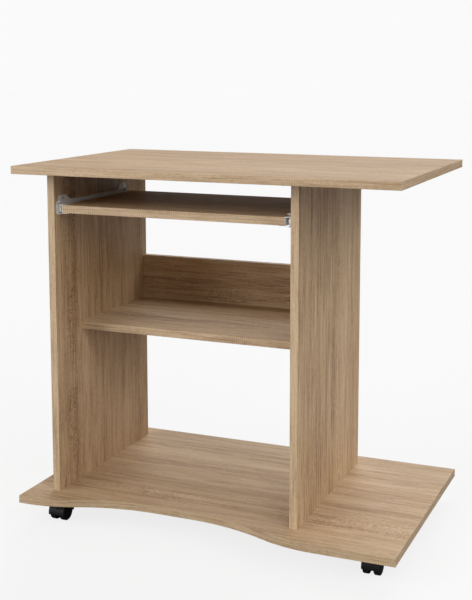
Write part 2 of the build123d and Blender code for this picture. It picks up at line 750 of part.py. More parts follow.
def save_slides():
    """Write the rails, rollers, pins and screws of both slides."""
    sides = {"left": placed_left, "right": placed_right}
    for side, place in sides.items():
        save(f"{side}_fixed_rail", place(fixed_rail()))
        save(f"{side}_moving_rail", place(moving_rail()))
        save(f"{side}_front_roller", place(front_roller()))
        save(f"{side}_rear_roller", place(rear_roller()))
    places = list(sides.values())
    save("front_roller_pins", [place(front_roller_pin()) for place in places])
    save("rear_roller_pins", [place(rear_roller_pin()) for place in places])
    save("rail_screws", [place(item) for place in places for item in rail_screws()])
    save("tray_screws", [place(item) for place in places for item in tray_screws()])


def save_casters():
    """Write the four casters."""
    plate, housing, axle, wheel = caster_plate(), caster_housing(), caster_axle(), caster_wheel()
    for name, place in CASTERS.items():
        save(f"{name}_caster_plate", place * plate)
        save(f"{name}_caster_housing", place * housing)
        save(f"{name}_caster_axle", place * axle)
        save(f"{name}_wheel_right", place * wheel)
        save(f"{name}_wheel_left", place * mirror(wheel, about=Plane.YZ))
    save("kingpins", [place * kingpin() for place in CASTERS.values()])
    save("caster_screws", [place * item for place in CASTERS.values() for item in caster_screws()])


os.makedirs("parts", exist_ok=True)
save_boards()
save_joinery()
save_slides()
save_casters()
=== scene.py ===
"""The looks of the computer desk: oak laminate, white slides, black casters and a plain studio."""

import logging
import math
from collections.abc import Callable, Sequence
from dataclasses import dataclass
from enum import Enum

import bmesh
import bpy
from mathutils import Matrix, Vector


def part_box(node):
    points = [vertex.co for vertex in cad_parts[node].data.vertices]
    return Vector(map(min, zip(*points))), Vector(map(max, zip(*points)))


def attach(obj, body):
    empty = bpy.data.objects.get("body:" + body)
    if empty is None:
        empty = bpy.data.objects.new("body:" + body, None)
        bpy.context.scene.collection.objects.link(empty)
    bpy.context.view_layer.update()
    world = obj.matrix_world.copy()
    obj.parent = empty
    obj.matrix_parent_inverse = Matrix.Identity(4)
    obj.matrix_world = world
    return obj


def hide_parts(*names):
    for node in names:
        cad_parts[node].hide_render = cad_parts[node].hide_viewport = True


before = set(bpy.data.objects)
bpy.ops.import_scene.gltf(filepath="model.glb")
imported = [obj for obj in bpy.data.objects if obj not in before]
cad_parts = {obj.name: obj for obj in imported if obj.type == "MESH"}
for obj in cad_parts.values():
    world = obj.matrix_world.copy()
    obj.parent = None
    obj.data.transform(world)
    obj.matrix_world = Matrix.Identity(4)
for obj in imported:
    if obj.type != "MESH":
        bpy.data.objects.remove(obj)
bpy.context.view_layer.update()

LOG = logging.getLogger("desk")

MM = 0.001
Colour = tuple[float, float, float, float]
Socket = bpy.types.NodeSocket
Value = float | Sequence[float] | Socket


def rgb(red: float, green: float, blue: float) -> Colour:
    """Return an opaque linear colour."""
    return (red, green, blue, 1.0)


# Shader graphs
class Graph:
    """A shader node tree, with a short method for each kind of node in use."""

    def __init__(self, tree: bpy.types.NodeTree) -> None:
        """Hold the tree.

        Args:
            tree: The node tree of a material or of a node group.
        """
        self.tree = tree

    def node(self, kind: str, inputs: dict | None = None, **settings: object) -> bpy.types.Node:
        """Add a node.

        Args:
            kind: The node's type name.
            inputs: What feeds its inputs, by their names or places.
            settings: Properties to set on it.

        Returns:
            The new node.
        """
        made = self.tree.nodes.new(kind)
        for name, value in settings.items():
            setattr(made, name, value)
        for key, value in (inputs or {}).items():
            self.feed(made.inputs[key], value)
        return made

    def feed(self, socket: Socket, value: Value) -> None:
        """Link a socket to another, or set its own value.

        Args:
            socket: The input to feed.
            value: An output socket, or a plain value.
        """
        if isinstance(value, Socket):
            self.tree.links.new(value, socket)
        else:
            socket.default_value = value

    def math(
        self, operation: str, first: Value, second: Value = 0.0, third: Value = 0.0
    ) -> Socket:
        """Add a Math node.

        Args:
            operation: The operation's name.
            first: The first operand.
            second: The second operand.
            third: The third operand.

        Returns:
            The result's socket.
        """
        operands = {0: first, 1: second, 2: third}
        return self.node("ShaderNodeMath", operands, operation=operation).outputs[0]

    def scaled(self, value: Value, factor: Value, offset: Value = 0.0) -> Socket:
        """Return value times factor plus offset."""
        return self.math("MULTIPLY_ADD", value, factor, offset)

    def step(self, value: Value, low: float, high: float) -> Socket:
        """Add a smooth step.

        Args:
            value: The value to read.
            low: Where the result is 0.
            high: Where the result is 1.

        Returns:
            The result's socket, from 0 to 1.
        """
        inputs = {"Value": value, "From Min": low, "From Max": high}
        return self.node("ShaderNodeMapRange", inputs, interpolation_type="SMOOTHSTEP").outputs["Result"]

    def vector(self, along: Value, across: Value, through: Value) -> Socket:
        """Return a vector of three values."""
        return self.node("ShaderNodeCombineXYZ", {0: along, 1: across, 2: through}).outputs[0]

    def split(self, vector: Socket) -> list[Socket]:
        """Return the three components of a vector."""
        return list(self.node("ShaderNodeSeparateXYZ", {0: vector}).outputs)

    def noise(self, vector: Value, detail: float = 2.0, roughness: float = 0.5) -> Socket:
        """Add a noise of scale 1 on a vector that is already scaled.

        Args:
            vector: Where the noise is read.
            detail: How many octaves it has.
            roughness: How strong the finer octaves are.

        Returns:
            The noise, about 0.5.
        """
        inputs = {"Vector": vector, "Scale": 1.0, "Detail": detail, "Roughness": roughness}
        return self.node("ShaderNodeTexNoise", inputs).outputs["Fac"]

    def mix(self, factor: Value, first: Value, second: Value) -> Socket:
        """Mix two colours.

        Args:
            factor: The share of the second colour.
            first: The first colour.
            second: The second colour.

        Returns:
            The mixed colour's socket.
        """
        return self.node("ShaderNodeMix", {0: factor, 6: first, 7: second}, data_type="RGBA").outputs[2]

    def choose(self, factor: Value, first: Value, second: Value) -> Socket:
        """Mix two vectors by a factor from 0 to 1."""
        return self.node("ShaderNodeMix", {0: factor, 4: first, 5: second}, data_type="VECTOR").outputs[1]

    def group(self, group: bpy.types.NodeTree, **values: Value) -> bpy.types.Node:
        """Place a node group and feed its inputs.

        Args:
            group: The node group.
            values: Values by input name, with underscores for spaces.

        Returns:
            The group's node.
        """
        inputs = {name.replace("_", " "): value for name, value in values.items()}
        return self.node("ShaderNodeGroup", inputs, node_tree=group)


def new_group(name: str, inputs: dict[str, Value], outputs: dict[str, str]) -> tuple[Graph, dict, dict]:
    """Start a shader node group.

    Args:
        name: The group's name.
        inputs: Each input's name and default: a number, a vector of 3 or a colour of 4.
        outputs: Each output's name and socket type.

    Returns:
        The group's graph, its inputs as sockets by name, and its output sockets by name.
    """
    tree = bpy.data.node_groups.new(name, "ShaderNodeTree")
    kinds = {3: "NodeSocketVector", 4: "NodeSocketColor"}
    for label, value in inputs.items():
        kind = kinds[len(value)] if isinstance(value, tuple) else "NodeSocketFloat"
        socket = tree.interface.new_socket(label, in_out="INPUT", socket_type=kind)
        socket.default_value = value
    for label, kind in outputs.items():
        tree.interface.new_socket(label, in_out="OUTPUT", socket_type=kind)
    graph = Graph(tree)
    source = graph.node("NodeGroupInput")
    sink = graph.node("NodeGroupOutput")
    return graph, {s.name: s for s in source.outputs if s.name}, {s.name: s for s in sink.inputs if s.name}


@dataclass(frozen=True)
class Waves:
    """A noise drawn out along the grain, and its share in the pattern.

    Attributes:
        along: Its waves per metre along the grain.
        across: Its waves per metre across the grain.
        detail: How many octaves it has.
        roughness: How strong the finer octaves are.
        weight: How far it moves the tone, or the lines that it bends.
    """

    along: float
    across: float
    detail: float = 2.0
    roughness: float = 0.5
    weight: float = 0.0


WANDER = Waves(1.7, 6.0, weight=0.014)
BANDS = Waves(0.7, 21.0, weight=0.65)
STREAKS = Waves(3.2, 70.0, detail=3.0, roughness=0.62, weight=0.85)
FLECKS = Waves(13.0, 170.0, roughness=0.6, weight=0.45)
FIBRES = Waves(10.0, 400.0, detail=3.0, roughness=0.65, weight=1.35)
HAIRS = Waves(40.0, 1500.0, weight=0.35)
GRIT = Waves(110.0, 520.0, detail=1.0, weight=0.55)
PORES = Waves(70.0, 1900.0, detail=1.0, weight=-0.12)
SWIRL = Waves(21.0, 62.0, roughness=0.6, weight=9.0)
SPELLS = Waves(8.5, 3.0, detail=1.0)
JITTER = Waves(24.0, 60.0, detail=1.0, weight=11.0)
RAGGED = Waves(45.0, 150.0, detail=1.0)
PATCHES = Waves(6.0, 32.0, detail=1.0)


class OakPattern:
    """The rough-sawn oak pattern, as a node group.

    Its Vector runs along the grain, across it and through the board, in metres.
    """

    ALONG_SHIFT = 3.71
    ACROSS_SHIFT = 1.93
    PLANK_WEIGHT = 0.15
    FIGURE_WEIGHT = -0.46
    SAW_WEIGHT = 0.24
    MEAN_TONE = 0.56
    FIGURE_WANDER = 0.03
    RINGS_PER_METRE = 66.0
    RING_SPREAD = 1.1
    TICKS_PER_METRE = 1420.0
    PALE_BETWEEN_RINGS = -0.12
    FIBRE_HEIGHT = 0.6
    SAW_HEIGHT = 0.5
    PORE_HEIGHT = -0.8
    DARK_TO_MIDDLE = (0.05, 0.58)
    MIDDLE_TO_LIGHT = (0.45, 0.95)

    def __init__(self) -> None:
        """Start the group and find the wandering line of the grain."""
        numbers = ("Figure Across", "Figure Width", "Figure Strength", "Plank Width", "Saw Marks", "Seed")
        inputs = {"Vector": (0.0, 0.0, 0.0)}
        inputs |= dict.fromkeys(("Light", "Middle", "Dark"), rgb(0.5, 0.5, 0.5))
        inputs |= dict.fromkeys(numbers, 0.0)
        self.graph, self.inputs, self.outputs = new_group(
            "oak_grain", inputs, {"Colour": "NodeSocketColor", "Height": "NodeSocketFloat"}
        )
        g = self.graph
        along, self.across, self.through = g.split(self.inputs["Vector"])
        self.seed = self.inputs["Seed"]
        self.u = g.scaled(self.seed, self.ALONG_SHIFT, along)
        bare_v = g.scaled(self.seed, self.ACROSS_SHIFT, self.across)
        place = g.vector(g.scaled(self.u, WANDER.along), g.scaled(bare_v, WANDER.across), self.seed)
        self.wander = g.math("SUBTRACT", g.noise(place, WANDER.detail), 0.5)
        self.v = g.scaled(self.wander, WANDER.weight, bare_v)

    def drawn_out(self, waves: Waves, depth: Value | None = None) -> Socket:
        """Add a noise drawn out along the grain.

        Args:
            waves: The noise.
            depth: The slice of it that shows at every depth; without one it changes with depth.

        Returns:
            The noise, about 0.5.
        """
        g = self.graph
        if depth is None:
            depth = g.scaled(self.through, waves.across)
        place = g.vector(g.scaled(self.u, waves.along), g.scaled(self.v, waves.across), depth)
        return g.noise(place, waves.detail, waves.roughness)

    def plank(self) -> Socket:
        """Add a chance value for each printed plank.

        Returns:
            The value, from 0 to 1.
        """
        g = self.graph
        plank = g.math("FLOOR", g.math("DIVIDE", self.v, self.inputs["Plank Width"]))
        return g.node("ShaderNodeTexWhiteNoise", {"W": plank}, noise_dimensions="1D").outputs["Value"]

    def figure(self) -> Socket:
        """Add the belt of arched dark lines.

        Returns:
            How dark it is, mostly from 0 to 1.
        """
        g = self.graph
        middle = g.scaled(self.wander, self.FIGURE_WANDER, self.across)
        from_figure = g.math("SUBTRACT", middle, self.inputs["Figure Across"])
        offset = g.math("DIVIDE", from_figure, self.inputs["Figure Width"])
        swirl = g.scaled(self.drawn_out(SWIRL, self.seed), SWIRL.weight)
        bow = g.math("MULTIPLY", offset, offset)
        arches = g.scaled(bow, self.RING_SPREAD, g.scaled(self.u, self.RINGS_PER_METRE, swirl))
        rings = g.step(g.math("SINE", g.scaled(arches, 2.0 * math.pi)), low=-0.5, high=1.0)
        belt = g.step(g.math("ABSOLUTE", offset), low=1.1, high=0.35)
        spells = g.step(self.drawn_out(SPELLS, g.scaled(self.seed, 2.0, 4.0)), low=0.33, high=0.56)
        mask = g.math("MULTIPLY", g.math("MULTIPLY", belt, spells), self.inputs["Figure Strength"])
        return g.math("MULTIPLY", mask, g.math("ADD", rings, self.PALE_BETWEEN_RINGS))

    def saw_marks(self) -> Socket:
        """Add the ragged patches of fine ticks that a saw leaves across the grain.

        Returns:
            The marks, from -1 to 1.
        """
        g = self.graph
        jitter = g.scaled(self.drawn_out(JITTER, self.seed), JITTER.weight)
        ticks = g.math("SINE", g.scaled(self.u, self.TICKS_PER_METRE, jitter))
        ragged = g.step(self.drawn_out(RAGGED), low=0.42, high=0.62)
        patches = g.step(self.drawn_out(PATCHES, g.math("ADD", self.seed, 9.0)), low=0.46, high=0.64)
        marks = g.math("MULTIPLY", ticks, g.math("MULTIPLY", ragged, patches))
        return g.math("MULTIPLY", marks, self.inputs["Saw Marks"])

    def build(self) -> bpy.types.NodeTree:
        """Add up the tone, and turn it into a colour and a height.

        Returns:
            The node group.
        """
        g = self.graph
        fibres, saw = self.drawn_out(FIBRES), self.saw_marks()
        pores = g.step(self.drawn_out(PORES), low=0.60, high=0.70)
        tone = g.scaled(g.math("SUBTRACT", self.plank(), 0.5), self.PLANK_WEIGHT, self.MEAN_TONE)
        noises = [(BANDS, self.drawn_out(BANDS, self.seed)), (FIBRES, fibres)]
        noises += [(waves, self.drawn_out(waves)) for waves in (STREAKS, FLECKS, HAIRS, GRIT)]
        for waves, noise in noises:
            tone = g.scaled(g.math("SUBTRACT", noise, 0.5), waves.weight, tone)
        figure = self.figure()
        for part, weight in ((figure, self.FIGURE_WEIGHT), (saw, self.SAW_WEIGHT), (pores, PORES.weight)):
            tone = g.scaled(part, weight, tone)
        dark, middle, light = (self.inputs[name] for name in ("Dark", "Middle", "Light"))
        lower = g.mix(g.step(tone, *self.DARK_TO_MIDDLE), dark, middle)
        g.feed(self.outputs["Colour"], g.mix(g.step(tone, *self.MIDDLE_TO_LIGHT), lower, light))
        dents = g.scaled(saw, self.SAW_HEIGHT, g.scaled(pores, self.PORE_HEIGHT))
        g.feed(self.outputs["Height"], g.scaled(fibres, self.FIBRE_HEIGHT, dents))
        return g.tree


def handling_group() -> bpy.types.NodeTree:
    """Build the uneven gloss that hands and dust leave on any finish.

    Returns:
        The node group: Roughness is the finish's own value, more or less by Amount.
    """
    g, inputs, outputs = new_group(
        "handling_marks",
        {"Vector": (0.0, 0.0, 0.0), "Base": 0.5, "Amount": 0.08, "Size": 0.08},
        {"Roughness": "NodeSocketFloat", "Dust": "NodeSocketFloat"},
    )
    size = g.vector(inputs["Size"], inputs["Size"], inputs["Size"])
    place = g.node("ShaderNodeVectorMath", {0: inputs["Vector"], 1: size}, operation="DIVIDE").outputs[0]
    smudges = g.noise(place, detail=4.0, roughness=0.6)
    spread = g.scaled(smudges, 2.0, -1.0)
    g.feed(outputs["Roughness"], g.math("MULTIPLY_ADD", spread, inputs["Amount"], inputs["Base"]))
    g.feed(outputs["Dust"], g.step(smudges, low=0.5, high=0.75))
    return g.tree


def skin_group() -> bpy.types.NodeTree:
    """Build the fine pebbled skin of powder coat and of moulded plastic.

    Returns:
        The node group, with a height from 0 to 1 at the grain size asked for.
    """
    g, inputs, outputs = new_group(
        "pebbled_skin",
        {"Vector": (0.0, 0.0, 0.0), "Grain": 0.0008},
        {"Height": "NodeSocketFloat", "Speckle": "NodeSocketFloat"},
    )
    grain = g.vector(inputs["Grain"], inputs["Grain"], inputs["Grain"])
    place = g.node("ShaderNodeVectorMath", {0: inputs["Vector"], 1: grain}, operation="DIVIDE").outputs[0]
    pebbles = g.node("ShaderNodeTexVoronoi", {"Vector": place, "Scale": 1.0}, feature="SMOOTH_F1")
    ripple = g.noise(place, detail=3.0, roughness=0.6)
    g.feed(outputs["Height"], g.scaled(pebbles.outputs["Distance"], 0.6, g.scaled(ripple, 0.5)))
    g.feed(outputs["Speckle"], g.step(ripple, low=0.42, high=0.62))
    return g.tree


OAK_PATTERN = OakPattern().build()
HANDLING_MARKS = handling_group()
PEBBLED_SKIN = skin_group()


def start_material(name: str) -> tuple[Graph, bpy.types.Node, Socket]:
    """Start a material with one Principled shader.

    Args:
        name: The material's name.

    Returns:
        Its graph, its shader and its object coordinates.
    """
    material = bpy.data.materials.new(name)
    if material.name != name:
        raise ValueError(f"another material is already called {name}")
    material.use_nodes = True
    g = Graph(material.node_tree)
    g.tree.nodes.clear()
    shader = g.node("ShaderNodeBsdfPrincipled")
    g.node("ShaderNodeOutputMaterial", {"Surface": shader.outputs["BSDF"]})
    return g, shader, g.node("ShaderNodeTexCoord").outputs["Object"]


def bump(
    g: Graph, shader: bpy.types.Node, height: Socket, depth: float, strength: float
) -> None:
    """Give a shader a bump.

    Args:
        g: The material's graph.
        shader: The shader to bump.
        height: The height's socket.
        depth: The relief's depth in metres.
        strength: The share of the relief that shows.
    """
    made = g.node("ShaderNodeBump", {"Distance": depth, "Strength": strength, "Height": height})
    g.feed(shader.inputs["Normal"], made.outputs["Normal"])


# Finishes
class GrainRun(Enum):
    """Which way the oak grain runs: the axes along the grain, across the face and through the board."""

    LYING = (0, 1, 2)
    UPRIGHT = (2, 1, 0)
    STANDING = (0, 2, 1)
    BAND_ALONG_Y = (1, 2, 0)
    BAND_ALONG_Z = (2, 0, 1)


@dataclass(frozen=True)
class OakFinish:
    """Oak-look laminate or edge band.

    Attributes:
        name: The material's name.
        run: Which way the grain runs.
        seed: Sets this board apart from the others.
        figure_across: Where the dark figure lies across the face, in metres.
        figure_width: Half the width of the figure, in metres.
        figure: How strong the figure is.
        plank: The width of one printed plank, in metres.
        saw: How strong the saw marks are.
        light: The colour of the pale wood.
        middle: The colour between.
        dark: The colour of the dark lines.
        roughness: The finish's own roughness.
        end_limit: On bands of a lying board, the X beyond which a band runs along Y; 0 where none does.
        thin: Whether the pattern is the same all through, as on a band that follows a curve.
    """

    name: str
    run: GrainRun
    seed: float
    figure_across: float = 0.0
    figure_width: float = 0.03
    figure: float = 0.6
    plank: float = 0.10
    saw: float = 0.5
    light: Colour = rgb(0.595, 0.430, 0.268)
    middle: Colour = rgb(0.455, 0.300, 0.166)
    dark: Colour = rgb(0.225, 0.122, 0.052)
    roughness: float = 0.52
    end_limit: float = 0.0
    thin: bool = False

    def place(self, g: Graph, coordinates: Socket, run: GrainRun) -> Socket:
        """Put coordinates in the grain's own axes.

        Args:
            g: The material's graph.
            coordinates: The object coordinates.
            run: Which way the grain runs.

        Returns:
            The place along the grain, across it and through the board.
        """
        parts = g.split(coordinates)
        along, across, through = (parts[axis] for axis in run.value)
        return g.vector(along, across, 0.0 if self.thin else through)

    def build(self) -> None:
        """Build the material."""
        g, shader, coordinates = start_material(self.name)
        grain = self.place(g, coordinates, self.run)
        if self.end_limit:
            beyond = g.math("GREATER_THAN", g.math("ABSOLUTE", g.split(coordinates)[0]), self.end_limit)
            grain = g.choose(beyond, grain, self.place(g, coordinates, GrainRun.BAND_ALONG_Y))
        oak = g.group(
            OAK_PATTERN,
            Vector=grain,
            Light=self.light,
            Middle=self.middle,
            Dark=self.dark,
            Figure_Across=self.figure_across,
            Figure_Width=self.figure_width,
            Figure_Strength=self.figure,
            Plank_Width=self.plank,
            Saw_Marks=self.saw,
            Seed=self.seed,
        )
        marks = g.group(HANDLING_MARKS, Vector=coordinates, Base=self.roughness, Amount=0.06, Size=0.11)
        g.feed(shader.inputs["Base Color"], oak.outputs["Colour"])
        g.feed(shader.inputs["Roughness"], marks.outputs["Roughness"])
        bump(g, shader, oak.outputs["Height"], depth=0.00025, strength=0.35)


@dataclass(frozen=True)
class SkinFinish:
    """Powder coat or moulded plastic: one colour, a pebbled skin and uneven gloss.

    Attributes:
        name: The material's name.
        colour: The surface colour.
        grime: The colour towards which handling moves it.
        roughness: The finish's own roughness.
        grain: The size of the pebbles in metres.
        relief: Their depth in metres.
        grime_share: The most that the grime colour shows.
        coat: The clear coat's weight.
        specular: The strength of its reflection.
    """

    name: str
    colour: Colour
    grime: Colour
    roughness: float
    grain: float = 0.0008
    relief: float = 0.00004
    grime_share: float = 0.3
    coat: float = 0.0
    specular: float = 0.5

    def build(self) -> None:
        """Build the material."""
        g, shader, coordinates = start_material(self.name)
        skin = g.group(PEBBLED_SKIN, Vector=coordinates, Grain=self.grain)
        marks = g.group(HANDLING_MARKS, Vector=coordinates, Base=self.roughness, Amount=0.1, Size=0.02)
        share = g.math("MULTIPLY", marks.outputs["Dust"], self.grime_share)
        colour = g.mix(share, self.colour, self.grime)
        speckled = g.mix(g.math("MULTIPLY", skin.outputs["Speckle"], 0.12), colour, self.grime)
        g.feed(shader.inputs["Base Color"], speckled)
        g.feed(shader.inputs["Roughness"], marks.outputs["Roughness"])
        shader.inputs["Coat Weight"].default_value = self.coat
        shader.inputs["Specular IOR Level"].default_value = self.specular
        bump(g, shader, skin.outputs["Height"], self.relief, strength=0.6)


@dataclass(frozen=True)
class MetalFinish:
    """Zinc-plated steel, a little streaked.

    Attributes:
        name: The material's name.
        colour: The metal's colour.
        tint: The colour of its passivated patches.
        roughness: The finish's own roughness.
    """

    name: str
    colour: Colour
    tint: Colour
    roughness: float

    def build(self) -> None:
        """Build the material."""
        g, shader, coordinates = start_material(self.name)
        skin = g.group(PEBBLED_SKIN, Vector=coordinates, Grain=0.0004)
        marks = g.group(HANDLING_MARKS, Vector=coordinates, Base=self.roughness, Amount=0.12, Size=0.006)
        colour = g.mix(marks.outputs["Dust"], self.colour, self.tint)
        g.feed(shader.inputs["Base Color"], colour)
        g.feed(shader.inputs["Roughness"], marks.outputs["Roughness"])
        shader.inputs["Metallic"].default_value = 1.0
        bump(g, shader, skin.outputs["Height"], depth=0.00002, strength=0.5)


Finish = OakFinish | SkinFinish | MetalFinish
WHITE_COAT = SkinFinish(
    "white_powder_coat",
    rgb(0.82, 0.82, 0.80),
    rgb(0.60, 0.59, 0.56),
    roughness=0.38,
    grain=0.0009,
    relief=0.00003,
    grime_share=0.22,
    coat=0.1,
)
BLACK_COAT = SkinFinish("black_powder_coat", rgb(0.010, 0.010, 0.011), rgb(0.03, 0.03, 0.03), roughness=0.45)
WHITE_NYLON = SkinFinish(
    "roller_nylon", rgb(0.80, 0.79, 0.75), rgb(0.50, 0.49, 0.45), roughness=0.45, grain=0.0006
)
BLACK_NYLON = SkinFinish(
    "hood_nylon",
    rgb(0.004, 0.004, 0.005),
    rgb(0.012, 0.012, 0.011),
    roughness=0.50,
    grain=0.0006,
    specular=0.25,
)
WHEEL_NYLON = SkinFinish(
    "wheel_nylon",
    rgb(0.004, 0.004, 0.004),
    rgb(0.016, 0.015, 0.014),
    roughness=0.60,
    grain=0.0006,
    specular=0.16,
)
OAK_CAP = SkinFinish(
    "oak_coloured_cap", rgb(0.42, 0.32, 0.21), rgb(0.28, 0.2, 0.13), roughness=0.5, grain=0.0007
)
BEECH = SkinFinish("beech_dowel", rgb(0.62, 0.45, 0.28), rgb(0.45, 0.31, 0.18), roughness=0.7, grain=0.0012)
ZINC = MetalFinish("zinc_plated_steel", rgb(0.60, 0.60, 0.59), rgb(0.52, 0.50, 0.44), roughness=0.36)


def made_once(finish: Finish) -> bpy.types.Material:
    """Build a finish's material when it is first asked for.

    Args:
        finish: The finish.

    Returns:
        Its material.
    """
    if finish.name not in bpy.data.materials:
        finish.build()
    return bpy.data.materials[finish.name]


def coat_nodes(finish: Finish, *nodes: str) -> None:
    """Give CAD nodes a finish through their own slots.

    Args:
        finish: The finish.
        nodes: The CAD nodes' names.
    """
    material = made_once(finish)
    for name in nodes:
        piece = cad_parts[name]
        if not piece.material_slots:
            piece.data.materials.append(material)
        for slot in piece.material_slots:
            slot.material = material
        LOG.info("%s: %s", name, material.name)


# The workbench: modelling by operators
class Bench:
    """One piece, shaped by operators in edit mode and finished with applied modifiers."""

    def __init__(self, name: str) -> None:
        """Take the primitive that was just added, and put its place in its mesh.

        Args:
            name: The finished piece's name.
        """
        self.piece = bpy.context.view_layer.objects.active
        self.piece.name = name
        self.piece.data.name = name
        bpy.ops.object.transform_apply(location=True, rotation=True, scale=True)

    @classmethod
    def cylinder(cls, name: str, radius: float, span: tuple[float, float], sides: int) -> "Bench":
        """Start from a cylinder along X.

        Args:
            name: The piece's name.
            radius: The cylinder's radius.
            span: Where it starts and ends along X.
            sides: The number of sides.

        Returns:
            The piece on the bench.
        """
        bpy.ops.object.select_all(action="DESELECT")
        bpy.ops.mesh.primitive_cylinder_add(
            vertices=sides,
            radius=radius,
            depth=span[1] - span[0],
            location=((span[0] + span[1]) / 2, 0.0, 0.0),
            rotation=(0.0, math.pi / 2, 0.0),
        )
        return cls(name)

    @classmethod
    def post(cls, name: str, radius: float, place: Vector, height: float, sides: int) -> "Bench":
        """Start from an upright cylinder.

        Args:
            name: The piece's name.
            radius: The cylinder's radius.
            place: The middle of its foot.
            height: Its height.
            sides: The number of sides.

        Returns:
            The piece on the bench.
        """
        bpy.ops.object.select_all(action="DESELECT")
        middle = place + Vector((0.0, 0.0, height / 2))
        bpy.ops.mesh.primitive_cylinder_add(vertices=sides, radius=radius, depth=height, location=middle)
        return cls(name)

    def edit(self) -> None:
        """Enter edit mode, in which faces are selected."""
        bpy.context.view_layer.objects.active = self.piece
        bpy.ops.object.mode_set(mode="EDIT")
        bpy.ops.mesh.select_mode(type="FACE")

    def leave(self) -> None:
        """Go back to object mode."""
        bpy.ops.object.mode_set(mode="OBJECT")

    def pick(self, kind: str, wanted: Callable[[bmesh.types.BMFace | bmesh.types.BMEdge], bool]) -> None:
        """Select only the faces or the edges that are wanted.

        Args:
            kind: Either faces or edges.
            wanted: Says whether one of them is wanted.
        """
        bpy.ops.mesh.select_all(action="DESELECT")
        mesh = bmesh.from_edit_mesh(self.piece.data)
        for element in getattr(mesh, kind):
            if wanted(element):
                element.select_set(True)
        bmesh.update_edit_mesh(self.piece.data)

    def inset(self, width: float) -> None:
        """Inset the selected faces as one region."""
        bpy.ops.mesh.inset(thickness=width, depth=0.0)

    def push(self, along_x: float) -> None:
        """Move what is selected along X."""
        bpy.ops.transform.translate(value=(along_x, 0.0, 0.0))

    def extrude(self, along_x: float) -> None:
        """Extrude the selected faces along X."""
        bpy.ops.mesh.extrude_region_move(TRANSFORM_OT_translate={"value": (along_x, 0.0, 0.0)})

    def modifier(self, kind: str, **settings: object) -> None:
        """Add a modifier and apply it.

        Args:
            kind: The modifier's type.
            settings: Its properties.
        """
        bpy.ops.object.select_all(action="DESELECT")
        self.piece.select_set(True)
        bpy.context.view_layer.objects.active = self.piece
        made = self.piece.modifiers.new(kind.lower(), kind)
        for name, value in settings.items():
            setattr(made, name, value)
        bpy.ops.object.modifier_apply(modifier=made.name)

    def combine(self, other: "Bench", operation: str) -> None:
        """Join another piece to this one, or cut it out, and use it up.

        Args:
            other: The other piece.
            operation: UNION or DIFFERENCE.
        """
        self.modifier("BOOLEAN", object=other.piece, operation=operation, solver="EXACT")
        bpy.data.objects.remove(other.piece)

    def finish(self, bevel: float, angle: float = 32.0) -> bpy.types.Object:
        """Round the sharp edges, set the shading and return the piece.

        Args:
            bevel: The width of the rounding.
            angle: The smallest fold, in degrees, that counts as an edge.

        Returns:
            The finished object, at the origin.
        """
        fold = math.radians(angle)
        self.modifier("BEVEL", width=bevel, segments=2, limit_method="ANGLE", angle_limit=fold)
        self.edit()
        bpy.ops.mesh.select_all(action="SELECT")
        bpy.ops.mesh.remove_doubles(threshold=0.004 * MM)
        bpy.ops.mesh.normals_make_consistent(inside=False)
        self.leave()
        bpy.ops.object.shade_smooth_by_angle(angle=math.radians(35.0))
        return self.piece


def copy_at(source: bpy.types.Object, name: str, offset: Vector, turned: bool = False) -> bpy.types.Object:
    """Copy a finished piece with its own mesh, moved into place.

    Args:
        source: The piece to copy.
        name: The copy's name.
        offset: How far to move it.
        turned: Whether to turn it half round Z first.

    Returns:
        The copy, at the origin, with its place in its mesh.
    """
    bpy.ops.object.select_all(action="DESELECT")
    source.select_set(True)
    bpy.context.view_layer.objects.active = source
    bpy.ops.object.duplicate(linked=False)
    made = bpy.context.view_layer.objects.active
    made.name = name
    made.data.name = name
    if turned:
        made.rotation_euler = (0.0, 0.0, math.pi)
    made.location = offset
    bpy.ops.object.transform_apply(location=True, rotation=True, scale=True)
    return made


